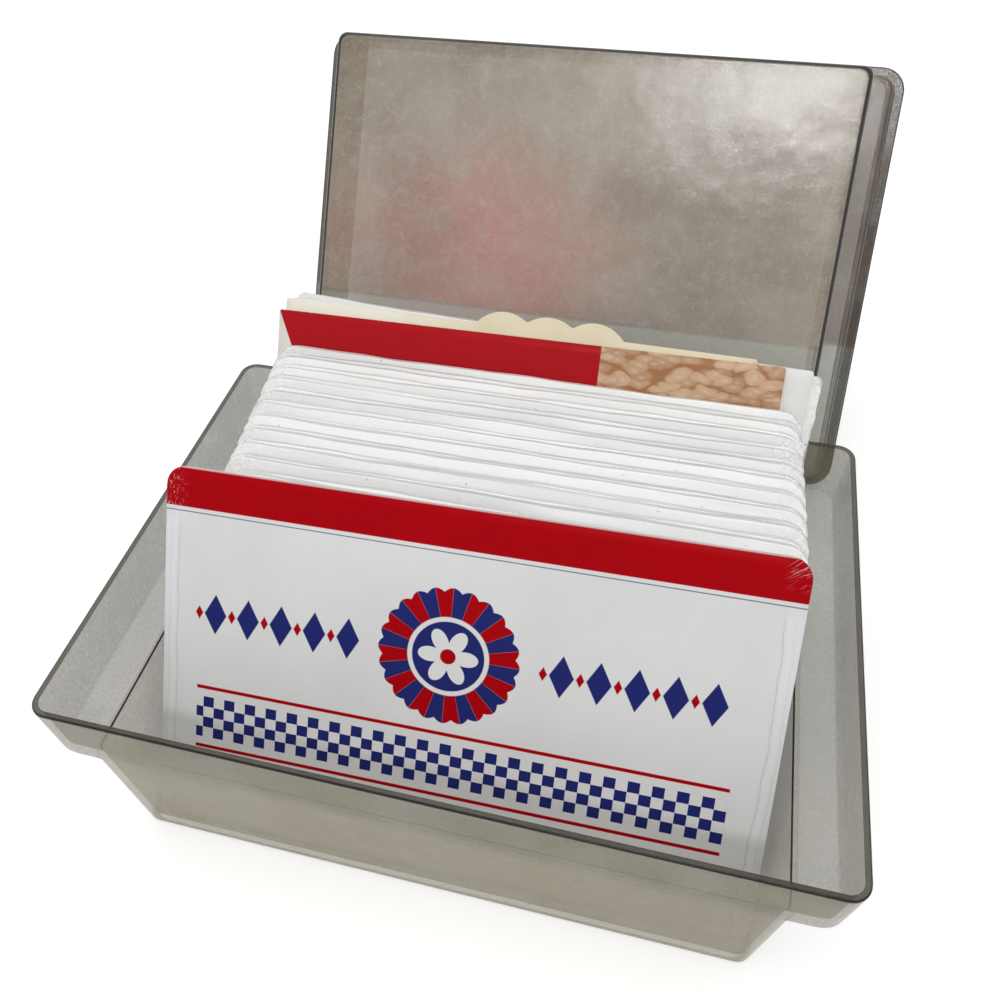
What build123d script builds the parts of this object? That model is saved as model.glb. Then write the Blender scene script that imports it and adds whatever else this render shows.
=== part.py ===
"""Recipe card box: a smoked plastic base tray full of card packs, with its lift-off lid stood behind it.

Frame: +X to the right, +Y to the back, +Z up, in millimetres.
The origin is the centre of the tray's underside, on the surface that the box stands on.
"""
import os
from math import copysign, cos, radians, sin, tan

from build123d import *

# Base tray
RIM_WIDTH = 195.0
RIM_DEPTH = 137.5
TRAY_HEIGHT = 58.0
WALL = 1.6
RIM_CORNER = 5.0
SHOULDER_HEIGHT = 19.0
SHOULDER_DRAFT = 1.4
LEDGE_WIDTH = 10.3
WELL_DRAFT = 3.5
WELL_CORNER = 3.6
END_DRAFT = 4.6
FOOT_ROUND = 2.0
WING_ROUND = 1.4

# Lid
LID_HEIGHT = 43.5
LIP_HEIGHT = 4.0
LIP_FIT = 0.6
LIP_WALL = 2.2
LIP_STEP = 0.4
LID_SHOULDER = 14.0
LID_END_DRAFT = 4.2
LID_WELL_DRAFT = 0.8
LID_CORNER = 3.0
LID_ROUND = 1.8
LID_LEAN = 33.3
LID_SETBACK = 42.7
LID_SHIFT = 1.7

# Card deck
CARD_LEAN = 31.8
CARD_GAP = 0.2
SEAT_GAP = 0.3
DIVIDER_SIDE_GAP = 0.7
DIVIDER_RISE = 1.9
DIVIDER_THICKNESS = 0.8
DIVIDER_CORNER = 5.5
DIVIDER_SHIFT = 1.0
DIVIDER_TILT = -0.9
CARD_CORNER = 0.8
PACK_COUNT = 21
REAR_PACK_COUNT = 3
PACK_SIDE_GAP = 0.9
FRONT_PACK_LEFT_GAP = 13.2
BACK_PACK_LEFT_GAP = 1.0
FRONT_PACK_HEIGHT = 99.2
BACK_PACK_HEIGHT = 85.2
REAR_PACK_HEIGHT = 91.3
REAR_PACK_DROP = 5.0
REAR_PACK_SIDE_GAP = 0.4
REAR_PACK_CORNER = 2.0
REAR_PACK_TILT = 2.2
PACK_CORNER = 6.0
PACK_WANDER = 0.6
PACK_STEP = 1.6
PICTURE_SIDE_GAP = 4.2
PICTURE_HEIGHT = 95.1
PICTURE_SHIFT = -3.0
PICTURE_TILT = -0.6
CARD_THICKNESS = 0.7
INDEX_COUNT = 2
INDEX_SIDE_GAP = 2.0
INDEX_HEIGHT = 95.3
INDEX_DROP = 0.3
INDEX_TILT = 1.0
SCALLOP_COUNT = 3
SCALLOP_RADIUS = 12.0
SCALLOP_PITCH = 13.6
SCALLOP_CENTRE = 3.7
SCALLOP_RISE = 4.4
SCALLOPED_WIDTH = 143.6
SCALLOPED_HEIGHT = 97.3
SCALLOPED_SHIFT = -7.8
SCALLOPED_TILT = 0.4

# Sizes worked out from the ones above
LEDGE_LEVEL = TRAY_HEIGHT - SHOULDER_HEIGHT
WELL_MOUTH = RIM_WIDTH - 2 * (SHOULDER_DRAFT + LEDGE_WIDTH)
WELL_FOOT = WELL_MOUTH - 2 * WELL_DRAFT
LEAN = radians(CARD_LEAN)
SEAT_LEVEL = WALL + SEAT_GAP * cos(LEAN)
FLOOR_WIDTH = WELL_FOOT + 2 * WELL_DRAFT * WALL / LEDGE_LEVEL - 2 * WALL
DIVIDER_WIDTH = FLOOR_WIDTH - 2 * DIVIDER_SIDE_GAP
DIVIDER_HEIGHT = FRONT_PACK_HEIGHT + DIVIDER_RISE
PICTURE_WIDTH = FLOOR_WIDTH - 2 * PICTURE_SIDE_GAP
INDEX_WIDTH = FLOOR_WIDTH - 2 * INDEX_SIDE_GAP
REAR_PACK_WIDTH = FLOOR_WIDTH - 2 * REAR_PACK_SIDE_GAP


def depth_at(height):
    """Outside depth of the tray, front to back, at a height above its foot."""
    return RIM_DEPTH - 2 * END_DRAFT * (TRAY_HEIGHT - height) / TRAY_HEIGHT


def shoulder_width_at(height):
    """Outside width of the tray's shoulder at a height above its foot."""
    return RIM_WIDTH - 2 * SHOULDER_DRAFT * (TRAY_HEIGHT - height) / SHOULDER_HEIGHT


def well_width_at(height):
    """Outside width of the tray's well at a height above its foot."""
    return WELL_FOOT + 2 * WELL_DRAFT * height / LEDGE_LEVEL


def tapered_block(low, high, corner, z_low, z_high):
    """A block whose plan is a rounded rectangle, low at its underside and high at its top."""
    floor_plan = Pos(0, 0, z_low) * RectangleRounded(*low, corner)
    roof_plan = Pos(0, 0, z_high) * RectangleRounded(*high, corner)
    return loft([floor_plan, roof_plan], ruled=True)


def shrunk(size):
    """A plan size with one wall's thickness taken off each side."""
    return tuple(side - 2 * WALL for side in size)


def edges_at(block, height):
    """The edges of a block that lie flat at one height."""
    return block.edges().filter_by_position(Axis.Z, height, height)


def make_tray():
    """The base: a wide shoulder with a ledge along each side, over a narrower well."""
    rim_plan = (RIM_WIDTH, RIM_DEPTH)
    ledge_plan = (shoulder_width_at(LEDGE_LEVEL), depth_at(LEDGE_LEVEL))
    shoulder = tapered_block(ledge_plan, rim_plan, RIM_CORNER, LEDGE_LEVEL, TRAY_HEIGHT)
    shoulder = fillet(edges_at(shoulder, LEDGE_LEVEL), WING_ROUND)
    foot_plan = (WELL_FOOT, depth_at(0))
    mouth_plan = (WELL_MOUTH, depth_at(LEDGE_LEVEL))
    well = tapered_block(foot_plan, mouth_plan, WELL_CORNER, 0, LEDGE_LEVEL)
    well = fillet(edges_at(well, 0), FOOT_ROUND)
    overlap = tapered_block(mouth_plan, mouth_plan, WELL_CORNER, LEDGE_LEVEL, LEDGE_LEVEL + WALL)

    ledge_top = LEDGE_LEVEL + WALL
    tray_room = tapered_block(
        shrunk((shoulder_width_at(ledge_top), depth_at(ledge_top))),
        shrunk(rim_plan),
        RIM_CORNER - WALL,
        ledge_top,
        TRAY_HEIGHT,
    )
    well_room = tapered_block(
        shrunk((well_width_at(WALL), depth_at(WALL))),
        shrunk((well_width_at(ledge_top), depth_at(ledge_top))),
        WELL_CORNER - WALL,
        WALL,
        ledge_top,
    )
    return shoulder + well + overlap - tray_room - well_room


def make_lid_upright():
    """The lid as it sits when closed, with its lip's lower edge at height zero."""
    lip_size = (RIM_WIDTH + 2 * (LIP_FIT + LIP_WALL), RIM_DEPTH + 2 * (LIP_FIT + LIP_WALL))
    step_size = (RIM_WIDTH - 2 * LIP_STEP, RIM_DEPTH - 2 * LIP_STEP)
    run = LID_HEIGHT - LIP_HEIGHT
    shoulder_depth = step_size[1] - 2 * LID_END_DRAFT * (LID_SHOULDER - LIP_HEIGHT) / run
    panel_depth = step_size[1] - 2 * LID_END_DRAFT
    ledge_size = (step_size[0] - 2 * SHOULDER_DRAFT, shoulder_depth)
    neck_size = (WELL_MOUTH, shoulder_depth)
    panel_size = (WELL_MOUTH - 2 * LID_WELL_DRAFT, panel_depth)

    lip_top = LIP_HEIGHT + WALL
    lip = tapered_block(lip_size, lip_size, RIM_CORNER + LIP_FIT + LIP_WALL, 0, lip_top)
    shoulder = tapered_block(step_size, ledge_size, RIM_CORNER, LIP_HEIGHT, LID_SHOULDER)
    shoulder = fillet(edges_at(shoulder, LID_SHOULDER), WING_ROUND)
    crown = tapered_block(neck_size, panel_size, LID_CORNER, LID_SHOULDER, LID_HEIGHT)
    crown = fillet(edges_at(crown, LID_HEIGHT), LID_ROUND)
    overlap = tapered_block(neck_size, neck_size, LID_CORNER, LID_SHOULDER - WALL, LID_SHOULDER)

    rim_room_size = (RIM_WIDTH + 2 * LIP_FIT, RIM_DEPTH + 2 * LIP_FIT)
    rim_room = tapered_block(rim_room_size, rim_room_size, RIM_CORNER + LIP_FIT, 0, LIP_HEIGHT)
    shoulder_room = tapered_block(
        shrunk(step_size), shrunk(ledge_size), RIM_CORNER - WALL, LIP_HEIGHT, LID_SHOULDER - WALL
    )
    crown_room = tapered_block(
        shrunk(neck_size), shrunk(panel_size), LID_CORNER - WALL, LID_SHOULDER - WALL, LID_HEIGHT - WALL
    )
    shell = lip + shoulder + crown + overlap
    return shell - rim_room - shoulder_room - crown_room


def make_lid():
    """The lid stood on its lip's edge behind the tray, leaning back, with its top towards the front."""
    edge_at_front = Pos(0, RIM_DEPTH / 2 + LIP_FIT + LIP_WALL, 0) * make_lid_upright()
    stood_up = Rot(90 - LID_LEAN, 0, 0) * edge_at_front
    return Pos(LID_SHIFT, RIM_DEPTH / 2 + LID_SETBACK, 0) * stood_up


def front_of_deck():
    """Where the front of the deck meets the tray's floor, just behind the front wall."""
    return -depth_at(WALL) / 2 + WALL + SEAT_GAP


def pack_thickness():
    """Thickness of one pack when the deck fills the way from the front wall to the rim behind it."""
    room_at_rim = RIM_DEPTH / 2 - WALL - SEAT_GAP - front_of_deck()
    room = (room_at_rim - (TRAY_HEIGHT - SEAT_LEVEL) * tan(LEAN)) * cos(LEAN)
    thin_count = INDEX_COUNT + 2
    pack_count = PACK_COUNT + REAR_PACK_COUNT
    thin_cards = DIVIDER_THICKNESS + thin_count * CARD_THICKNESS
    gaps = (thin_count + pack_count) * CARD_GAP
    return (room - thin_cards - gaps) / pack_count


def lean_back(slab, near_face, thickness):
    """Lay an upright card back among the others, its lowest edge just above the tray's floor.

    near_face is the distance from the front of the deck to the card's front face, square to the cards.
    """
    far_face = near_face + thickness
    rise = far_face * tan(LEAN)
    in_deck = Pos(0, near_face, rise) * slab
    return Pos(0, front_of_deck(), SEAT_LEVEL) * (Rot(-CARD_LEAN, 0, 0) * in_deck)


def upright_card(width, height, corner, thickness, shift=0.0):
    """A flat card or pack standing on its long edge at height zero, its front face at zero depth."""
    outline = RectangleRounded(width, height, corner)
    face = Plane.XZ * (Pos(shift, height / 2) * outline)
    return extrude(face, -thickness)


def tilted(slab, width, angle):
    """A slab tipped sideways on a lower corner: its left end rises, or its right at a negative angle."""
    corner = Pos(copysign(width / 2, angle), 0, 0)
    return corner * Rot(0, angle, 0) * corner.inverse() * slab


def wrapped_pack(left_gap, height, thickness):
    """A pack pushed to the right of the well, its left end short of the well's side by left_gap."""
    width = FLOOR_WIDTH - PACK_SIDE_GAP - left_gap
    shift = (left_gap - PACK_SIDE_GAP) / 2
    return upright_card(width, height, PACK_CORNER, thickness, shift)


def divider():
    """The stiff divider in front of the packs, standing on its lower left corner."""
    card = upright_card(DIVIDER_WIDTH, DIVIDER_HEIGHT, DIVIDER_CORNER, DIVIDER_THICKNESS)
    return Pos(DIVIDER_SHIFT, 0, 0) * tilted(card, DIVIDER_WIDTH, DIVIDER_TILT)


def picture():
    """The picture card behind the packs, a little to the left and standing on its lower left corner."""
    card = upright_card(PICTURE_WIDTH, PICTURE_HEIGHT, CARD_CORNER, CARD_THICKNESS)
    return Pos(PICTURE_SHIFT, 0, 0) * tilted(card, PICTURE_WIDTH, PICTURE_TILT)


def scalloped_card():
    """An index card whose top edge has a row of round scallops over its middle."""
    card = upright_card(SCALLOPED_WIDTH, SCALLOPED_HEIGHT, CARD_CORNER, CARD_THICKNESS)
    disc_level = SCALLOPED_HEIGHT + SCALLOP_RISE - SCALLOP_RADIUS
    for place in range(SCALLOP_COUNT):
        across = SCALLOP_CENTRE - SCALLOPED_SHIFT + (place - (SCALLOP_COUNT - 1) / 2) * SCALLOP_PITCH
        disc = Plane.XZ * (Pos(across, disc_level) * Circle(SCALLOP_RADIUS))
        card += extrude(disc, -CARD_THICKNESS)
    return Pos(SCALLOPED_SHIFT, 0, 0) * tilted(card, SCALLOPED_WIDTH, SCALLOPED_TILT)


def deck():
    """Every card and pack from front to back, as (node name, upright solid, thickness)."""
    yield "front_divider", divider(), DIVIDER_THICKNESS
    thickness = pack_thickness()
    for place in range(PACK_COUNT):
        share = place / (PACK_COUNT - 1)
        left_gap = FRONT_PACK_LEFT_GAP + (BACK_PACK_LEFT_GAP - FRONT_PACK_LEFT_GAP) * share
        left_gap += PACK_WANDER * sin(PACK_STEP * place)
        height = FRONT_PACK_HEIGHT + (BACK_PACK_HEIGHT - FRONT_PACK_HEIGHT) * share
        height += PACK_WANDER * cos(2 * PACK_STEP * place)
        yield f"card_pack_{place + 1:02d}", wrapped_pack(left_gap, height, thickness), thickness
    yield "picture_card", picture(), CARD_THICKNESS
    yield "scalloped_card", scalloped_card(), CARD_THICKNESS
    for place in range(INDEX_COUNT):
        height = INDEX_HEIGHT - INDEX_DROP * (place + 1)
        index_card = upright_card(INDEX_WIDTH, height, CARD_CORNER, CARD_THICKNESS)
        yield f"index_card_{place + 1}", tilted(index_card, INDEX_WIDTH, INDEX_TILT), CARD_THICKNESS
    for place in range(REAR_PACK_COUNT):
        height = REAR_PACK_HEIGHT - REAR_PACK_DROP * place
        pack = upright_card(REAR_PACK_WIDTH, height, REAR_PACK_CORNER, thickness)
        yield f"rear_pack_{place + 1}", tilted(pack, REAR_PACK_WIDTH, REAR_PACK_TILT), thickness


def main():
    """Build each node and write it as its own STEP file."""
    os.makedirs("parts", exist_ok=True)
    nodes = {"base_tray": make_tray(), "lid": make_lid()}
    near_face = 0.0
    for name, solid, thickness in deck():
        nodes[name] = lean_back(solid, near_face, thickness)
        near_face += thickness + CARD_GAP
    print("pack thickness", round(pack_thickness(), 3))
    for name, solid in nodes.items():
        export_step(solid, f"parts/{name}.step")


main()
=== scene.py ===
"""Looks of a smoked plastic recipe card box: its base tray, leaning cards and packs, and stood-up lid.

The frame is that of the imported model: metres, +X right, +Y back, +Z up, the origin at the centre
of the tray's underside. Sizes inside the classes are millimetres, as a maker writes them.
"""

import logging
import math
from dataclasses import dataclass, field
from enum import Enum
from typing import Any, Sequence

import bpy
import numpy as np
from mathutils import Matrix


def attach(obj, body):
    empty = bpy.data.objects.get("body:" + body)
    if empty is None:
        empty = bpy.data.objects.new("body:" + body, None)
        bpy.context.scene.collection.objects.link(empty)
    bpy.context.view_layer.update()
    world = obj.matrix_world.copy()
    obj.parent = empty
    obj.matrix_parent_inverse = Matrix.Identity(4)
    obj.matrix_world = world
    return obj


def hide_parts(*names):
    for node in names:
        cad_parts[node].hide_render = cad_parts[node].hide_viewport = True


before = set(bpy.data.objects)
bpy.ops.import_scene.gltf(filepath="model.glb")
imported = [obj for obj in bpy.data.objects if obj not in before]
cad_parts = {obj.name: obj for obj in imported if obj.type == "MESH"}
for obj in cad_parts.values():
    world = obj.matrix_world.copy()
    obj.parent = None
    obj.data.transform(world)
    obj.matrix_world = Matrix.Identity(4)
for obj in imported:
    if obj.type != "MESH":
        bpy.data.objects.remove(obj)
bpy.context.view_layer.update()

log = logging.getLogger("recipe_card_box")

Colour = tuple[float, float, float]
Waves = Sequence[tuple[float, float, float]]

MM = 0.001
TO_MM = (1000, 1000, 1000)

# How the cards lean, in degrees, and where the front one stands: its place back and up
CARD_LEAN = 31.8
SEAT = (-62.377, 1.855)

# The smallest ring of a face beside its pole, as a share of the face, and the least corner radius
POLE_SHARE = 0.2
LEAST_CORNER = 0.3


class Body(Enum):
    """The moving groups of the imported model."""

    TRAY = "tray"
    DIVIDER = "divider"
    FRONT_PACKS = "front_packs"
    MIDDLE_PACKS = "middle_packs"
    BACK_PACKS = "back_packs"
    PICTURE = "picture_card"
    SCALLOPED = "scalloped_card"
    INDEX_1 = "index_card_1"
    INDEX_2 = "index_card_2"
    REAR_PACKS = "rear_packs"
    LID = "lid"


class Slot(Enum):
    """The finishes that the record names."""

    SMOKED = "smoked_plastic"
    DIVIDER = "divider_card"
    PICTURE = "picture_card"
    CREAM = "cream_card"
    INDEX = "index_card"
    PACK = "wrapped_pack"


def srgb(red: float, green: float, blue: float) -> Colour:
    """Turn a colour of 0 to 255 per channel, as a screen shows it, into linear light.

    Args:
        red: red channel, 0 to 255.
        green: green channel, 0 to 255.
        blue: blue channel, 0 to 255.

    Returns:
        The colour's three linear channels, 0 to 1.
    """
    levels = np.array([red, green, blue], dtype=float) / 255.0
    low = levels / 12.92
    high = ((levels + 0.055) / 1.055) ** 2.4
    linear = np.where(levels <= 0.04045, low, high)
    return float(linear[0]), float(linear[1]), float(linear[2])


# Surfaces


@dataclass(frozen=True)
class RoundedPlan:
    """A rounded rectangle walked once round, with the same number of points whatever its size.

    Attributes:
        long_steps: pieces of each run along the first direction.
        short_steps: pieces of each run along the second direction.
        corner_steps: pieces of each corner's arc.
        near_corner: how near to a run's ends its outermost points lie, as a share of the run.
        near_piece: the same as a share of one piece, which counts where it is the nearer.
    """

    long_steps: int = 8
    short_steps: int = 6
    corner_steps: int = 6
    near_corner: float = 0.012
    near_piece: float = 0.3

    def pattern(self) -> tuple[np.ndarray, np.ndarray]:
        """Work out each point as a place on the inner rectangle plus a unit direction.

        A point is (S * (half size - radius)) + radius * D. On a corner's arc S stays at the
        corner and D turns; on a run D stays square to the side and S slides along it.

        Returns:
            The arrays S and D, each of shape (points, 2).
        """
        corners = np.array([[1, 1], [-1, 1], [-1, -1], [1, -1]], dtype=float)
        places, ways = [], []
        for index in range(4):
            start = index * math.pi / 2
            turn = start + np.linspace(0, math.pi / 2, self.corner_steps + 1)
            places.append(np.repeat(corners[index][None], len(turn), axis=0))
            ways.append(np.stack([np.cos(turn), np.sin(turn)], axis=1))
            steps = self.long_steps if index % 2 == 0 else self.short_steps
            share = np.linspace(0, 1, steps + 1)[1:-1]
            outermost = min(self.near_corner, self.near_piece / steps)
            share = np.concatenate([[outermost], share, [1 - outermost]])[:, None]
            onward = corners[(index + 1) % 4][None]
            places.append(corners[index][None] * (1 - share) + onward * share)
            ways.append(np.repeat(ways[-1][-1:], len(share), axis=0))
        return np.concatenate(places), np.concatenate(ways)

    def rings(self, half_long: np.ndarray, half_short: np.ndarray, corner: np.ndarray) -> np.ndarray:
        """Lay out one ring for each set of half sizes and corner radius.

        Args:
            half_long: half sizes along the first direction, one for each ring.
            half_short: half sizes along the second direction.
            corner: corner radii.

        Returns:
            Ring points of shape (rings, points, 2).
        """
        places, ways = self.pattern()
        half = np.stack([half_long - corner, half_short - corner], axis=1)
        return places[None] * half[:, None] + ways[None] * corner[:, None, None]


@dataclass(frozen=True)
class Bend:
    """One corner of a shell's section.

    Attributes:
        row: half width, half depth, corner radius, height and edge mark, from 0 to 1.
        setback: distance from the corner at which its curve starts.
        beyond: the edge mark on the stretch from here to the next corner.
    """

    row: Sequence[float]
    setback: float = 0.0
    beyond: float = 0.0


@dataclass(frozen=True)
class EasedProfile:
    """A shell's section with rounded corners, as rows of sizes.

    Each corner becomes the arc ((1-t)^2 A + 2ct(1-t) P + t^2 B) / ((1-t)^2 + 2ct(1-t) + t^2),
    where A and B lie on its two sides at the setback distance from the corner P and c is the
    cosine of half the turn there. One more row beyond each end keeps the flat stretches flat.
    The edge mark peaks at the middle of the arc as 1 - (2t-1)^4 and falls to the stretches' marks.

    Attributes:
        bends: the section's corners in order, its two ends included.
        steps: pieces of each curve.
        flank: how far out the extra rows lie, as a multiple of the setback.
        most: how much of a side a curve may take, as a share of the side.
        sharpest: the least value for the square of c.
    """

    bends: Sequence[Bend]
    steps: int = 6
    flank: float = 1.25
    most: float = 0.46
    sharpest: float = 0.04

    def toward(self, other: np.ndarray, here: np.ndarray, distance: np.ndarray) -> np.ndarray:
        """Rows at a distance from the corners towards other rows, held to part of the way."""
        gap = np.linalg.norm((other - here)[:, [0, 1, 3]], axis=1, keepdims=True)
        return here + (other - here) * np.minimum(distance / gap, self.most)

    def rows(self) -> np.ndarray:
        """Work out the rows.

        Returns:
            Half width, half depth, corner radius, height and edge mark in each row.
        """
        corners = np.array([bend.row for bend in self.bends])
        reach = np.array([bend.setback for bend in self.bends])[1:-1, None]
        marks = np.array([bend.beyond for bend in self.bends])[:-1]
        before, here, after = corners[:-2], corners[1:-1], corners[2:]
        start, finish = self.toward(before, here, reach), self.toward(after, here, reach)
        t = np.linspace(0, 1, self.steps + 1)[None, :, None]
        way_in, way_out = (here - before)[:, [0, 1, 3]], (after - here)[:, [0, 1, 3]]
        lengths = np.linalg.norm(way_in, axis=1) * np.linalg.norm(way_out, axis=1)
        straightness = np.sum(way_in * way_out, axis=1) / lengths
        half_turn = np.sqrt(np.clip((1 + straightness) / 2, self.sharpest, 1))[:, None, None]
        first, middle, last = (1 - t) ** 2, 2 * t * (1 - t) * half_turn, t**2
        curve = first * start[:, None] + middle * here[:, None] + last * finish[:, None]
        curve = curve / (first + middle + last)
        low = marks[:-1, None] * (1 - t[..., 0]) + marks[1:, None] * t[..., 0]
        peak = 1 - (2 * t[..., 0] - 1) ** 4
        curve[:, :, 4] = low + np.maximum(here[:, 4:5] - low, 0) * peak
        lead_in = self.toward(before, here, reach * self.flank)
        lead_out = self.toward(after, here, reach * self.flank)
        lead_in[:, 4], lead_out[:, 4] = marks[:-1], marks[1:]
        rows = np.concatenate([lead_in[:, None], curve, lead_out[:, None]], axis=1)
        return np.concatenate([corners[:1], rows.reshape(-1, corners.shape[1]), corners[-1:]])

    def loft(self, plan: RoundedPlan) -> tuple[np.ndarray, np.ndarray, np.ndarray]:
        """Carry the section round a plan.

        Args:
            plan: the rounded rectangle to walk round.

        Returns:
            Ring points in millimetres, and each point's height and edge mark.
        """
        rows = self.rows()
        flat = plan.rings(rows[:, 0], rows[:, 1], rows[:, 2])
        level = np.repeat(rows[:, 3][:, None], flat.shape[1], axis=1)
        edge = np.repeat(rows[:, 4][:, None], flat.shape[1], axis=1)
        return np.concatenate([flat, level[:, :, None]], axis=2), level, edge


def skin(name: str, rings: np.ndarray, attributes: dict[str, np.ndarray] | None = None) -> bpy.types.Object:
    """Make a closed mesh from rings, with a pole at the middle of the first and of the last.

    Neighbouring rings are joined by four-sided faces and each pole by a fan of triangles.
    If the enclosed volume comes out negative, every face is turned round.

    Args:
        name: the piece's name.
        rings: ring points in metres, of shape (rings, points, 3).
        attributes: values for each ring point, of shape (rings, points), by attribute name.

    Returns:
        The new object, linked into the scene.
    """
    count, around = rings.shape[:2]
    poles = np.stack([rings[0].mean(axis=0), rings[-1].mean(axis=0)])
    points = np.concatenate([rings.reshape(-1, 3), poles])
    row = np.arange(count - 1)[:, None] * around
    here, onward = np.arange(around)[None], (np.arange(around)[None] + 1) % around
    quads = np.stack([row + here, row + onward, row + around + onward, row + around + here], axis=-1)
    quads = quads.reshape(-1, 4)
    first, last, end = count * around, count * around + 1, (count - 1) * around
    fan_in = np.stack([np.full(around, first), onward[0], here[0]], axis=-1)
    fan_out = np.stack([end + here[0], end + onward[0], np.full(around, last)], axis=-1)
    fans = np.concatenate([fan_in, fan_out])
    triangles = np.concatenate([quads[:, [0, 1, 2]], quads[:, [0, 2, 3]], fans])
    a, b, c = (points[triangles[:, k]] for k in range(3))
    if np.einsum("ij,ij->", a, np.cross(b, c)) < 0:
        quads, fans = quads[:, ::-1], fans[:, ::-1]
    mesh = bpy.data.meshes.new(name)
    mesh.vertices.add(len(points))
    mesh.vertices.foreach_set("co", points.astype(np.float32).ravel())
    loops = np.concatenate([quads.ravel(), fans.ravel()]).astype(np.int32)
    starts = np.concatenate([np.arange(len(quads)) * 4, len(quads) * 4 + np.arange(len(fans)) * 3])
    mesh.loops.add(len(loops))
    mesh.loops.foreach_set("vertex_index", loops)
    mesh.polygons.add(len(starts))
    mesh.polygons.foreach_set("loop_start", starts.astype(np.int32))
    mesh.polygons.foreach_set("use_smooth", np.ones(len(starts), dtype=bool))
    for label, values in (attributes or {}).items():
        filled = np.concatenate([values.ravel(), [values[0].mean(), values[-1].mean()]])
        layer = mesh.attributes.new(label, "FLOAT", "POINT")
        layer.data.foreach_set("value", filled.astype(np.float32))
    mesh.update(calc_edges=True)
    mesh.validate()
    piece = bpy.data.objects.new(name, mesh)
    bpy.context.scene.collection.objects.link(piece)
    return piece


def ripple(along: np.ndarray, across: np.ndarray, seed: int, waves: Waves) -> np.ndarray:
    """Soft unevenness: a sum of sines whose phases are drawn once from a seed.

    Args:
        along: place along the piece, in millimetres.
        across: place across it, in millimetres.
        seed: which draw of phases to use.
        waves: for each sine its length along, its length across and its height.

    Returns:
        Offsets in millimetres, shaped as the places are.
    """
    draw = np.random.default_rng(seed)
    total = np.zeros(np.broadcast(along, across).shape)
    for length, width, height in waves:
        phase, drift = draw.uniform(0, 2 * math.pi), draw.uniform(0.8, 1.25)
        turns = along / (length * drift) + across / width
        total = total + height * np.sin(2 * math.pi * turns + phase)
    return total


# Materials


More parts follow.
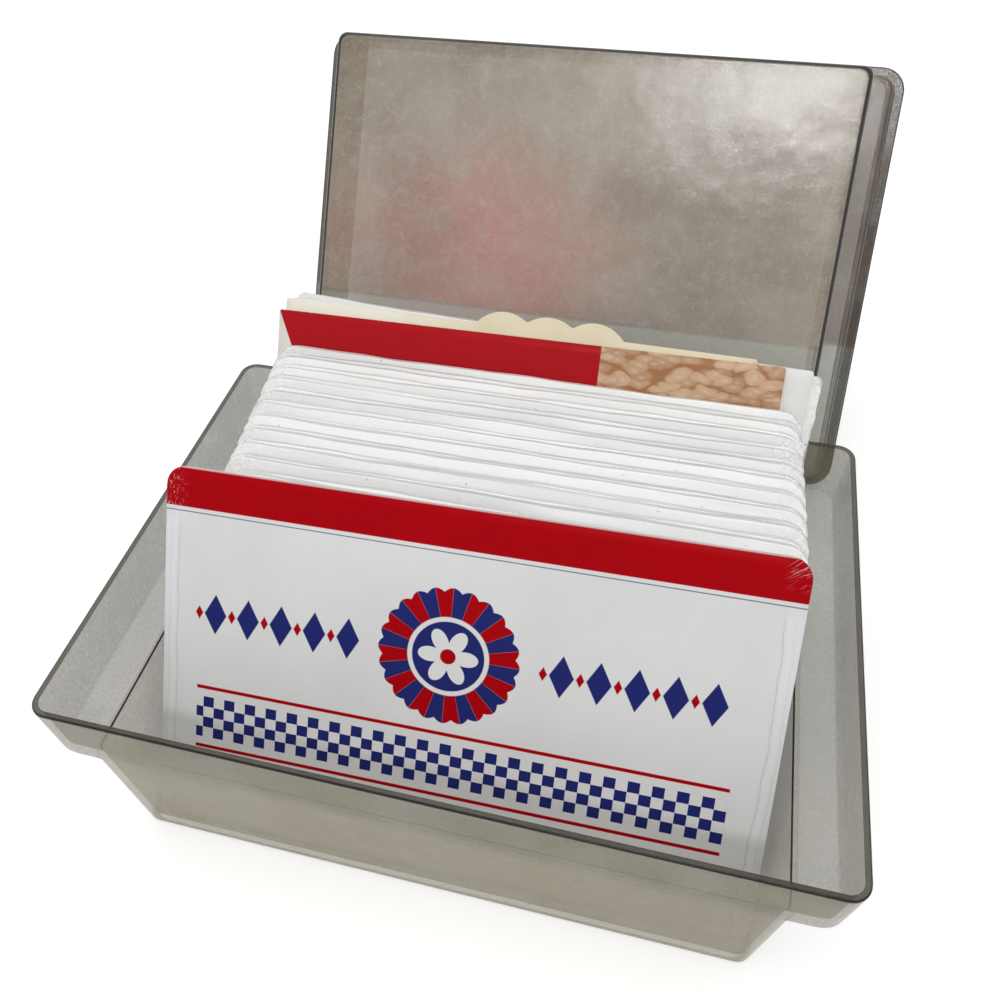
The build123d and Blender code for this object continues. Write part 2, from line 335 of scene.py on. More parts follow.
class Graph:
    """A short way to write a material's nodes: each call adds nodes and returns their output."""

    def __init__(self, name: str) -> None:
        """Start a material with one Principled shader.

        Args:
            name: the material's name.
        """
        self.material = bpy.data.materials.new(name)
        self.material.use_nodes = True
        self.tree = self.material.node_tree
        self.shader = self.tree.nodes["Principled BSDF"]

    def put(self, kind: str, inputs: dict[Any, Any] | None = None, **settings: Any) -> bpy.types.Node:
        """Add a node, set its options and fill its sockets.

        Args:
            kind: Blender's name for the node type.
            inputs: a constant or another node's output for each socket, by name or number.
            settings: the node's own options.

        Returns:
            The new node.
        """
        node = self.tree.nodes.new(kind)
        for label, value in settings.items():
            setattr(node, label, value)
        for socket, value in (inputs or {}).items():
            self.fill(node.inputs[socket], value)
        return node

    def fill(self, socket: bpy.types.NodeSocket, value: Any) -> None:
        """Give a socket a constant, or link an output to it."""
        if isinstance(value, bpy.types.NodeSocket):
            self.tree.links.new(value, socket)
        elif socket.type == "RGBA" and len(value) == 3:
            socket.default_value = (*value, 1.0)
        else:
            socket.default_value = value

    def math(self, operation: str, *values: Any, clamp: bool = False) -> Any:
        """One sum on numbers."""
        inputs = dict(enumerate(values))
        return self.put("ShaderNodeMath", inputs, operation=operation, use_clamp=clamp).outputs[0]

    def chain(self, operation: str, values: Sequence[Any]) -> Any:
        """The same sum over a row of numbers, from the first to the last."""
        total = values[0]
        for value in values[1:]:
            total = self.math(operation, total, value)
        return total

    def times(self, *factors: Any) -> Any:
        """The product of numbers."""
        return self.chain("MULTIPLY", factors)

    def plus(self, *terms: Any) -> Any:
        """The sum of numbers."""
        return self.chain("ADD", terms)

    def most(self, *values: Any) -> Any:
        """The greatest of numbers."""
        return self.chain("MAXIMUM", values)

    def less(self, value: Any, taken: Any) -> Any:
        """One number less another."""
        return self.math("SUBTRACT", value, taken)

    def size(self, value: Any) -> Any:
        """A number without its sign."""
        return self.math("ABSOLUTE", value)

    def length(self, x: Any, y: Any) -> Any:
        """The distance that two square parts make."""
        return self.math("SQRT", self.plus(self.times(x, x), self.times(y, y)))

    def mix(self, share: Any, low: Any, high: Any) -> Any:
        """Blend two colours by a share of 0 to 1."""
        node = self.put("ShaderNodeMix", {0: share, 6: low, 7: high}, data_type="RGBA")
        return node.outputs[2]

    def layered(self, ground: Any, layers: Sequence[tuple[Any, Any]]) -> Any:
        """Lay colours over a ground one after another, each by its own share."""
        colour = ground
        for share, coat in layers:
            colour = self.mix(share, colour, coat)
        return colour

    def blend(self, share: Any, low: Any, high: Any) -> Any:
        """Blend two numbers by a share of 0 to 1."""
        return self.put("ShaderNodeMix", {0: share, 2: low, 3: high}, data_type="FLOAT").outputs[0]

    def fit(self, value: Any, low: float, high: float, to_low: float = 0.0, to_high: float = 1.0) -> Any:
        """Rescale a number from one range to another, softly at both ends and held beyond them."""
        inputs = {"Value": value, "From Min": low, "From Max": high, "To Min": to_low, "To Max": to_high}
        return self.put("ShaderNodeMapRange", inputs, interpolation_type="SMOOTHSTEP").outputs[0]

    def fall(self, value: Any, low: float, high: float) -> Any:
        """One below a range and nought above it, softly between."""
        return self.fit(value, low, high, 1.0, 0.0)

    def within(self, value: Any, low: float, high: float, soft: float) -> Any:
        """One between two limits and nought outside, with soft borders."""
        rise = self.fit(value, low - soft, low + soft)
        return self.times(rise, self.fall(value, high - soft, high + soft))

    def noise(
        self, place: Any, scale: float | Sequence[float], detail: float = 3.0, rough: float = 0.5,
        twist: float = 0.0,
    ) -> Any:
        """Cloudy noise of 0 to 1.

        Args:
            place: the vector to look it up at.
            scale: one scale, or one for each direction.
            detail: how many finer layers lie over the first.
            rough: how strong each finer layer is.
            twist: how far the noise bends itself.

        Returns:
            The noise.
        """
        if not isinstance(scale, float):
            place, scale = self.scaled(place, scale), 1.0
        inputs = {"Vector": place, "Scale": scale, "Detail": detail, "Roughness": rough, "Distortion": twist}
        return self.put("ShaderNodeTexNoise", inputs).outputs[0]

    def attribute(self, name: str) -> Any:
        """A number stored with the mesh's points."""
        return self.put("ShaderNodeAttribute", attribute_name=name).outputs["Fac"]

    def moved(
        self, vector: Any, shift: Sequence[float] = (0, 0, 0), turn: Sequence[float] = (0, 0, 0),
        scale: Sequence[float] = (1, 1, 1),
    ) -> Any:
        """A vector after a scale, a turn and a shift, in that order.

        Args:
            vector: the vector to start from.
            shift: shift after turning.
            turn: angles about X, Y and Z in degrees.
            scale: factor along each axis.

        Returns:
            The mapped vector.
        """
        angles = tuple(math.radians(angle) for angle in turn)
        inputs = {"Vector": vector, "Scale": scale, "Rotation": angles, "Location": shift}
        return self.put("ShaderNodeMapping", inputs).outputs[0]

    def place(self) -> Any:
        """The place on the object, in metres."""
        return self.put("ShaderNodeTexCoord").outputs["Object"]

    def split(self, vector: Any) -> tuple[Any, Any, Any]:
        """The three parts of a vector."""
        node = self.put("ShaderNodeSeparateXYZ", {0: vector})
        return node.outputs[0], node.outputs[1], node.outputs[2]

    def join(self, x: Any, y: Any, z: Any) -> Any:
        """A vector from its three parts."""
        return self.put("ShaderNodeCombineXYZ", {0: x, 1: y, 2: z}).outputs[0]

    def scaled(self, vector: Any, factors: Sequence[float]) -> Any:
        """A vector with each part multiplied by a factor."""
        return self.put("ShaderNodeVectorMath", {0: vector, 1: factors}, operation="MULTIPLY").outputs[0]

    def bump(self, height: Any, strength: float, distance: float, below: Any = None) -> Any:
        """Turn a height into a surface direction, over another bump if one is given."""
        inputs: dict[Any, Any] = {"Height": height, "Strength": strength, "Distance": distance}
        if below is not None:
            inputs["Normal"] = below
        return self.put("ShaderNodeBump", inputs).outputs[0]

    def finish(self, **sockets: Any) -> bpy.types.Material:
        """Fill the shader's sockets and return the material.

        Args:
            sockets: a value for each socket, spaces in its name written as underscores.

        Returns:
            The finished material.
        """
        for label, value in sockets.items():
            self.fill(self.shader.inputs[label.replace("_", " ")], value)
        return self.material


@dataclass(frozen=True)
class SmokedPlastic:
    """Clear grey-brown moulded plastic, hazed and rubbed by years of use.

    Two skins of alpha stand for each wall. The edge attribute marks where light is caught
    inside the wall, at rims and corners, which are painted almost black as shade. The panel
    attribute marks the lid's rubbed top, which carries a round painted red reflection. Below a
    height the walls are rubbed, and below a line up the lid the plastic is clearer, with a paler,
    greener painted band there for the surroundings seen through it and a painted shade line along
    its border. Places are measured up the lean.
    """

    name: str
    tint: Colour = srgb(113, 105, 66)
    rubbed_tint: Colour = srgb(148, 136, 100)
    ledge_tint: Colour = srgb(150, 148, 142)
    panel_tint: Colour = srgb(150, 137, 118)
    red_reflection_tint: Colour = srgb(192, 116, 104)
    rim_shade_tint: Colour = srgb(14, 11, 8)
    haze_tint: Colour = srgb(186, 182, 170)
    painted_surroundings_tint: Colour = srgb(158, 162, 148)
    density: float = 0.45
    panel_density: float = 0.74
    edge_density: float = 0.97
    grazing_density: float = 0.85
    red_reflection_share: float = 0.0
    red_reflection_centre: tuple[float, float] = (-30.0, 130.0)
    red_reflection_narrowing: float = 0.75
    red_reflection_ragged: float = 24.0
    red_reflection_reach: tuple[float, float] = (18.0, 66.0)
    rubbed_below: float = 38.0
    ledge: tuple[float, float] = (38.7, 41.2)
    clear_below: float = -1000.0
    painted_surroundings_share: float = 0.6
    gloss: float = 0.25
    lean: float = 0.0
    seed: float = 0.0

    def painted_red_reflection(self, g: Graph, place: Any, fog: Any) -> Any:
        """A round cloud with a ragged border, which places the painted red reflection.

        Args:
            g: the graph to add to.
            place: the place in millimetres.
            fog: the noise that makes the border ragged.

        Returns:
            One inside the nearer reach, nought outside the further one.
        """
        x, y, _ = g.split(place)
        aside = g.times(g.less(x, self.red_reflection_centre[0] + self.seed), self.red_reflection_narrowing)
        reach = g.length(aside, g.less(y, self.red_reflection_centre[1]))
        return g.fall(g.plus(reach, g.times(fog, self.red_reflection_ragged)), *self.red_reflection_reach)

    def make(self) -> bpy.types.Material:
        """Build the material."""
        g = Graph(self.name)
        place = g.moved(g.place(), (self.seed, 0, 0), (self.lean, 0, 0), TO_MM)
        up = g.split(place)[1]
        level = g.split(g.moved(g.place(), scale=TO_MM))[2]
        rim, panel = g.fit(g.attribute("edge"), 0.05, 0.7), g.attribute("panel")
        cloud = g.noise(place, 0.016, rough=0.55)
        fog = g.noise(place, 0.05, detail=6.0, rough=0.66, twist=0.5)
        grain = g.noise(place, (1.5, 1.5, 0.9), detail=4.0, rough=0.65)
        fleck = g.noise(place, 0.35, detail=4.0, rough=0.75)
        streak = g.noise(place, (0.45, 0.05, 0.05), detail=4.0, rough=0.6, twist=0.6)
        scratch = g.noise(place, (2.56, 0.096, 0.176), detail=2.0, twist=1.5)
        line = g.noise(place, (2.6, 2.6, 0.12), detail=2.0, rough=0.6)
        worn = g.fall(level, self.rubbed_below, self.rubbed_below + 2)
        foot = self.clear_below
        clear = g.fall(g.plus(up, g.times(fog, 1.5)), foot, foot + 2)
        border_shade_line = g.within(up, foot - 0.4, foot + 0.6, 0.5)
        ledge = g.mix(g.fit(grain, 0.35, 0.65), self.tint, self.ledge_tint)
        base = g.layered(self.tint, (
            (worn, self.rubbed_tint),
            (g.within(level, *self.ledge, 0.3), ledge),
            (g.times(g.fit(line, 0.35, 0.7), worn, 0.35), self.haze_tint),
            (panel, self.panel_tint),
            # Painted reflection: a round red patch on the lid's top.
            (g.times(self.painted_red_reflection(g, place, fog), panel, self.red_reflection_share), self.red_reflection_tint),
            (g.times(g.fit(cloud, 0.42, 0.62), panel, 0.42), self.tint),
            (g.times(g.fit(fog, 0.36, 0.68), 0.3), self.haze_tint),
            (g.times(g.fit(streak, 0.4, 0.75), panel, 0.07), self.haze_tint),
            (g.times(g.fit(scratch, 0.64, 0.72), 0.16), self.haze_tint),
            (g.times(g.fit(fleck, 0.5, 0.64), panel, 0.26), self.haze_tint),
            (g.times(g.fit(grain, 0.5, 0.66), panel, 0.2), self.haze_tint),
            # Painted light: a paler, greener band below the line up the lid, for the surroundings seen
            # through it.
            (g.times(clear, self.painted_surroundings_share), self.painted_surroundings_tint),
            # Painted shade: a darker line along that band's border.
            (g.times(border_shade_line, 0.35), self.tint),
            # Painted shade: rims and corners drawn near black, where light is caught inside the wall.
            (rim, self.rim_shade_tint),
        ))
        alpha = g.plus(
            g.blend(panel, self.density, self.panel_density),
            g.times(g.less(fog, 0.5), 0.16),
            g.times(g.less(grain, 0.5), 0.3),
            g.times(clear, -0.12),
        )
        facing = g.put("ShaderNodeLayerWeight", {"Blend": 0.5}).outputs["Facing"]
        alpha = g.blend(g.math("POWER", facing, 5.0), alpha, self.grazing_density)
        alpha = g.blend(rim, alpha, self.edge_density)
        rough = g.blend(g.fit(fog, 0.35, 0.75), 0.10, 0.2)
        fine = g.bump(grain, 0.10, 0.0004)
        wavy = g.bump(g.noise(place, 0.06, detail=2.0), 0.10, 0.003, fine)
        return g.finish(
            Base_Color=base, Alpha=alpha, Roughness=rough, IOR=1.49, Specular_IOR_Level=self.gloss,
            Normal=wavy,
        )


@dataclass(frozen=True)
class CardSpace:
    """The plane of the leaning cards: u across, v up the card, w into the deck, in millimetres.

    Attributes:
        near_face: distance of the card's front face from the front of the deck.
        thickness: the card's or pack's own thickness.
        tip: sideways tip in degrees: it lifts the left end, or the right end where it is negative.
        half_width: half the card's width, which is where the corner that it stands on lies.
        shift: how far the card lies to the right of the middle.
    """

    near_face: float
    thickness: float
    tip: float = 0.0
    half_width: float = 0.0
    shift: float = 0.0

    @property
    def pivot(self) -> float:
        """Where across the card the corner that it stands on lies."""
        return math.copysign(self.half_width, self.tip)

    @property
    def rise(self) -> float:
        """How far the card's foot stands up the leaning plane."""
        return (self.near_face + self.thickness) * math.tan(math.radians(CARD_LEAN))

    def to_world(self, u: np.ndarray, v: np.ndarray, w: np.ndarray) -> np.ndarray:
        """Tip, raise and lean points of the card into the tray.

        Sideways tip by angle a about (pivot, 0); then y = seat + d cos L + V sin L and
        z = seat - d sin L + V cos L, with d the depth in the deck and V the height up its plane.

        Args:
            u: places across, millimetres.
            v: heights above the foot.
            w: depths behind the front face.

        Returns:
            Points in metres, with a last axis of three.
        """
        a, lean = math.radians(self.tip), math.radians(CARD_LEAN)
        across = u - self.pivot
        x = self.shift + self.pivot + across * math.cos(a) + v * math.sin(a)
        up = -across * math.sin(a) + v * math.cos(a) + self.rise
        d = self.near_face + w
        y = SEAT[0] + d * math.cos(lean) + up * math.sin(lean)
        z = SEAT[1] - d * math.sin(lean) + up * math.cos(lean)
        return np.stack(np.broadcast_arrays(x, y, z), axis=-1) * MM

    def in_shader(self, g: Graph) -> tuple[Any, Any, Any, Any]:
        """Find the card's own u, v and w in a material.

        Args:
            g: the graph to add to.

        Returns:
            The whole vector (u, w, v) and its three parts as u, v and w.
        """
        lean = math.radians(CARD_LEAN)
        depth = SEAT[0] * math.cos(lean) - SEAT[1] * math.sin(lean)
        height = SEAT[0] * math.sin(lean) + SEAT[1] * math.cos(lean)
        seat = (0, -depth - self.near_face, -height - self.rise)
        upright = g.moved(g.place(), seat, (CARD_LEAN, 0, 0), TO_MM)
        centred = g.moved(upright, (-self.pivot - self.shift, 0, 0))
        straight = g.moved(centred, (self.pivot, 0, 0), (0, -self.tip, 0))
        u, w, v = g.split(straight)
        return straight, u, v, w


# Shells


def settle(piece: bpy.types.Object, body: Body, node: str, material: bpy.types.Material) -> None:
    """Dress a finished piece and tie it to the frame.

    Args:
        piece: the new object.
        body: the body it rides on.
        node: the solid that it stands for.
        material: its material.
    """
    piece.data.materials.append(material)
    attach(piece, body.value)
    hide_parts(node)
    log.info("%s: %d faces", piece.name, len(piece.data.polygons))


@dataclass
class TrayShell:
    """The base tray: a wide shoulder with a ledge along each side, over a narrower well."""

    half_width: float = 97.5
    half_depth: float = 68.75
    height: float = 58.0
    wall: float = 1.6
    rim_corner: float = 5.0
    well_corner: float = 3.6
    ledge_level: float = 39.0
    mouth_half: float = 85.8
    foot_half: float = 82.3
    shoulder_draft: float = 1.4
    end_draft: float = 4.6
    ledge_rise: float = 0.3
    plan: RoundedPlan = field(default_factory=lambda: RoundedPlan(10, 8, 7))

    def row(self, z: float, half: float, corner: float, edge: float, inset: float = 0.0) -> list[float]:
        """One row of the section: half width, half depth, corner radius, height and edge mark."""
        depth = self.half_depth - self.end_draft * (self.height - z) / self.height
        return [half - inset, depth - inset, max(corner - inset, LEAST_CORNER), z, edge]

    def well_half(self, z: float) -> float:
        """Half the well's outside width at a height."""
        return self.foot_half + (self.mouth_half - self.foot_half) * z / self.ledge_level

    def shoulder_half(self, z: float) -> float:
        """Half the shoulder's outside width at a height."""
        share = (self.height - z) / (self.height - self.ledge_level)
        return self.half_width - self.shoulder_draft * share

    def section(self) -> EasedProfile:
        """The wall's section from under the floor, round the rim, to the top of the floor."""
        top, ledge, wall = self.height, self.ledge_level, self.wall
        inner, rise = ledge + wall, self.ledge_rise
        rim, well = self.rim_corner, self.well_corner
        floor = self.row(0.0, self.foot_half, well, 0.3)
        floor_in = self.row(wall, self.well_half(wall), well, 0.35, wall)
        return EasedProfile((
            Bend([floor[0] * POLE_SHARE, floor[1] * POLE_SHARE, 1.0, 0.0, 0.0]),
            Bend(floor, 2.0),
            Bend(self.row(ledge, self.mouth_half, well, 0.25), 0.7),
            Bend(self.row(ledge + rise, self.shoulder_half(ledge), rim, 0.14), 1.4),
            Bend(self.row(top, self.half_width, rim, 1.0), 0.7, 0.5),
            Bend(self.row(top, self.half_width, rim, 0.5, wall), 0.4),
            Bend(self.row(inner + rise, self.shoulder_half(inner), rim, 0.16, wall), 0.5),
            Bend(self.row(inner, self.well_half(inner), well, 0.8, wall), 0.45),
            Bend(floor_in, 1.2),
            Bend([floor_in[0] * POLE_SHARE, floor_in[1] * POLE_SHARE, 0.6, wall, 0.0]),
        ))

    def build(self) -> bpy.types.Object:
        """Loft the section round the plan and dress it."""
        rings, _, edge = self.section().loft(self.plan)
        piece = skin("tray_shell", rings * MM, {"edge": edge})
        settle(piece, Body.TRAY, "base_tray", SmokedPlastic("smoked tray plastic").make())
        return piece


@dataclass
class LidShell:
    """The deep lift-off lid, stood on its lip's edge behind the tray and leaning back."""

    rim_half: tuple[float, float] = (97.5, 68.75)
    lip_fit: float = 0.6
    lip_wall: float = 2.2
    lip_height: float = 4.0
    step: float = 0.4
    shoulder: float = 14.0
    height: float = 43.5
    wall: float = 1.6
    end_draft: float = 4.2
    side_draft: float = 1.4
    neck_half: float = 85.8
    panel_half: float = 85.0
    rim_corner: float = 5.0
    crown_corner: float = 3.0
    ledge_rise: float = 0.3
    lip_rise: float = 0.2
    panel_fade: tuple[float, float] = (1.5, 1.2)
    lean: float = 33.3
    foot_back: float = 111.45
    shift: float = 1.7
    plan: RoundedPlan = field(default_factory=lambda: RoundedPlan(12, 8, 7))

    def depth(self, z: float) -> float:
        """Half the outside depth of the lid above its lip at a height."""
        share = (z - self.lip_height) / (self.height - self.lip_height)
        return self.rim_half[1] - self.step - self.end_draft * share

    def row(self, z: float, half: float, corner: float, edge: float, inset: float = 0.0) -> list[float]:
        """One row of the section: half width, half depth, corner radius, height and edge mark."""
        return [half - inset, self.depth(z) - inset, max(corner - inset, LEAST_CORNER), z, edge]

    def shoulder_half(self, z: float) -> float:
        """Half the shoulder's outside width at a height."""
        share = (z - self.lip_height) / (self.shoulder - self.lip_height)
        return self.rim_half[0] - self.step - self.side_draft * share

    def lip_row(self, z: float, edge: float, inset: float = 0.0) -> list[float]:
        """One row on the lip, which keeps its size all the way up."""
        reach = self.lip_fit + self.lip_wall - inset
        half, deep = self.rim_half
        return [half + reach, deep + reach, self.rim_corner + reach, z, edge]

    def section(self) -> EasedProfile:
        """The section from the middle of the panel, over the lip's edge, to the panel's underside."""
        wall, lip, rise = self.wall, self.lip_height, self.ledge_rise
        lip_top, ledge, under = lip + wall, self.shoulder, self.shoulder - wall
        rim, crown, shoulder_end = self.rim_corner, self.crown_corner, self.shoulder_half(ledge)
        panel = self.row(self.height, self.panel_half, crown, 1.0)
        roof = self.row(self.height - wall, self.panel_half, crown, 0.8, wall)
        return EasedProfile((
            Bend([panel[0] * POLE_SHARE, panel[1] * POLE_SHARE, 1.0, self.height, 0.0]),
            Bend(panel, 2.1),
            Bend(self.row(ledge, self.neck_half, crown, 0.7), 0.9),
            Bend(self.row(ledge - rise, shoulder_end, rim, 0.5), 1.4),
            Bend(self.row(lip_top, self.shoulder_half(lip_top), rim, 0.7), 0.5, 0.4),
            Bend(self.lip_row(lip_top, 0.8), 0.7, 0.05),
            Bend(self.lip_row(0.0, 1.0), 0.6, 0.6),
            Bend(self.lip_row(0.0, 1.0, self.lip_wall), 0.6, 0.05),
            Bend(self.lip_row(lip, 0.7, self.lip_wall), 0.5, 0.3),
            Bend(self.row(lip + self.lip_rise, self.shoulder_half(lip), rim, 0.7, wall), 0.4),
            Bend(self.row(under - rise, shoulder_end, rim, 0.6, wall), 0.7),
            Bend(self.row(under, self.neck_half, crown, 0.6, wall), 0.9),
            Bend(roof, 1.0),
            Bend([roof[0] * POLE_SHARE, roof[1] * POLE_SHARE, 0.6, self.height - wall, 0.0]),
        ))

    def stand_up(self, rings: np.ndarray) -> np.ndarray:
        """Turn the lid up on its lip's back edge and set it behind the tray.

        With A the angle of the panel above the floor, Y = y cos A - z sin A + foot and
        Z = y sin A + z cos A, where y starts at the lip's edge.

        Args:
            rings: points of the lid as it sits when closed, in millimetres.

        Returns:
            Points of the lid as it stands, in metres.
        """
        angle = math.radians(90 - self.lean)
        x = rings[..., 0] + self.shift
        y = rings[..., 1] + self.rim_half[1] + self.lip_fit + self.lip_wall
        z = rings[..., 2]
        back = y * math.cos(angle) - z * math.sin(angle) + self.foot_back
        up = y * math.sin(angle) + z * math.cos(angle)
        return np.stack([x, back, up], axis=-1) * MM

    def finish(self) -> SmokedPlastic:
        """The plastic as it is on the lid: browner and denser, with a painted red reflection and a painted
        band of the surroundings low down.
        """
        return SmokedPlastic(
            name="smoked lid plastic", tint=srgb(104, 80, 56), density=0.66, red_reflection_share=0.75, gloss=0.5,
            rubbed_below=-10.0, ledge=(-9.0, -8.0), clear_below=112.0, lean=-(90 - self.lean), seed=40.0,
        )

    def build(self) -> bpy.types.Object:
        """Loft the section round the plan, stand it up and dress it."""
        rings, level, edge = self.section().loft(self.plan)
        below, fade = self.panel_fade
        panel = np.clip((level - (self.height - self.wall - below)) / fade, 0, 1)
        piece = skin("lid_shell", self.stand_up(rings), {"edge": edge, "panel": panel})
        settle(piece, Body.LID, "lid", self.finish().make())
        return piece


# Cards and packs


@dataclass
class Card:
    """One thin card: a slab with slightly rounded edges and a faint bow."""

    name: str
    node: str
    body: Body
    slot: Slot
    space: CardSpace
    half_width: float
    height: float
    corner: float
    bow: float = 0.06
    scallops: Sequence[float] = ()
    scallop_radius: float = 10.8
    scallop_rise: float = 4.2
    scallop_depth: float = 0.1
    plan: RoundedPlan = field(default_factory=lambda: RoundedPlan(40, 10, 6))

    def top_rise(self, u: np.ndarray, share: np.ndarray) -> np.ndarray:
        """How far the top edge stands above the card's height because of its scallops.

        Each scallop is the part of a circle above the edge, c + sqrt(r^2 - (u - u0)^2), and
        the highest of them counts. It fades out down the card with the share of the height.

        Args:
            u: places across.
            share: height up the card, 0 at the foot and 1 at the top.

        Returns:
            The rise in millimetres.
        """
        rise = np.zeros_like(u)
        for middle in self.scallops:
            under = np.maximum(self.scallop_radius**2 - (u - middle) ** 2, 0.0)
            disc = np.sqrt(under) + self.scallop_rise - self.scallop_radius
            rise = np.maximum(rise, disc)
        return rise * np.clip((share - 1 + self.scallop_depth) / self.scallop_depth, 0, 1)

    def build(self, material: bpy.types.Material) -> bpy.types.Object:
        """Make the slab from rings: front middle, outward, over the edge, and back to the middle.

        Args:
            material: the card's finish.

        Returns:
            The new piece.
        """
        t = self.space.thickness
        ease = min(0.2, t * 0.3)
        outward = np.array([0.02, 0.35, 0.7, 0.94, 1.0, 1.0])
        scale = np.concatenate([outward, outward[::-1]])
        inset = np.zeros(len(scale))
        inset[[4, 7]] = ease
        depth = np.concatenate([np.zeros(5), [ease, t - ease], np.full(5, t)])
        half_high = self.height / 2
        corner = np.maximum(self.corner * scale - inset, 0.02)
        flat = self.plan.rings(self.half_width * scale - inset, half_high * scale - inset, corner)
        u, v = flat[..., 0], flat[..., 1] + half_high
        v = v + self.top_rise(u, v / self.height) * (scale > 0.99)[:, None]
        w = np.repeat(depth[:, None], u.shape[1], axis=1)
        up = np.sin(math.pi * np.clip(v / self.height, 0, 1))
        bend = self.bow * up * np.cos(math.pi * u / (2 * self.half_width))
        piece = skin(self.name, self.space.to_world(u, v, w + bend))
        settle(piece, self.body, self.node, material)
        return piece


@dataclass
class Pack:
    """A stack of cards in clear shrink film: ridged top, soft edges and crinkled ends.

    The waves are given as ripple takes them: length along, length across and height.
    """

    name: str
    node: str
    body: Body
    space: CardSpace
    half_width: float
    height: float
    corner: float
    seed: int
    soft: float = 0.3
    power: float = 3.0
    dip: float = 0.34
    pucker: float = 0.55
    end_share: float = 0.1
    sag: Waves = ((70, 60, 0.14), (31, 25, 0.08), (13, 9, 0.04))
    card_edges: Waves = ((190, 1.5, 0.06), (-160, 1.0, 0.06))
    crinkles: Waves = ((17, 9, 0.24), (7.3, 5, 0.20), (3.7, 3, 0.14))
    plan: RoundedPlan = field(default_factory=lambda: RoundedPlan(110, 44, 10))

    def build(self, material: bpy.types.Material) -> bpy.types.Object:
        """Make the pack from rings over its edge, then let film and cards wander inwards.

        Across the thickness the edge follows 1 - (1 - |s|^p)^(1/p), nearly square with soft
        corners. Sines across the thickness make the ridges of single cards, slower ones make
        the top edge dip, and the film's ends pucker more, always inwards.

        Args:
            material: the pack's finish.

        Returns:
            The new piece.
        """
        t = self.space.thickness
        outermost = np.array([0.93, 0.985, 1])
        s = np.concatenate([-outermost[::-1], np.linspace(-0.82, 0.82, 13), outermost])
        outward = np.array([0.05, 0.6, 0.93])
        scale = np.concatenate([outward, np.ones(len(s)), outward[::-1]])
        pull = self.soft * (1 - (1 - np.abs(s) ** self.power) ** (1 / self.power))
        inset = np.concatenate([np.zeros(3), pull, np.zeros(3)])
        depth = np.concatenate([np.zeros(3), (s + 1) / 2 * t, np.full(3, t)])
        half, high = self.half_width, self.height / 2
        corner = np.maximum(self.corner * scale - inset, 0.05)
        flat = self.plan.rings(half * scale - inset, high * scale - inset, corner)
        u, v = flat[..., 0], flat[..., 1]
        w = np.repeat(depth[:, None], u.shape[1], axis=1)
        rim = (scale > 0.99)[:, None]
        up = np.clip(v / high, 0, 1)
        end = np.clip(np.abs(u) / half, 0, 1)
        uneven = ripple(u, w, self.seed, self.sag) + ripple(u, w, self.seed + 200, self.card_edges)
        dip = np.maximum(self.dip + uneven, 0.0)
        crinkle = np.maximum(self.pucker + ripple(v, w * 3, self.seed + 100, self.crinkles), 0.0)
        crinkle = crinkle * np.clip((end - 1 + self.end_share) / self.end_share, 0, 1)
        v = v - np.where(rim, (dip + crinkle * 0.4) * up**6, 0)
        u = u - np.where(rim, np.sign(u) * crinkle, 0)
        piece = skin(self.name, self.space.to_world(u, v + high, w))
        settle(piece, self.body, self.node, material)
        return piece


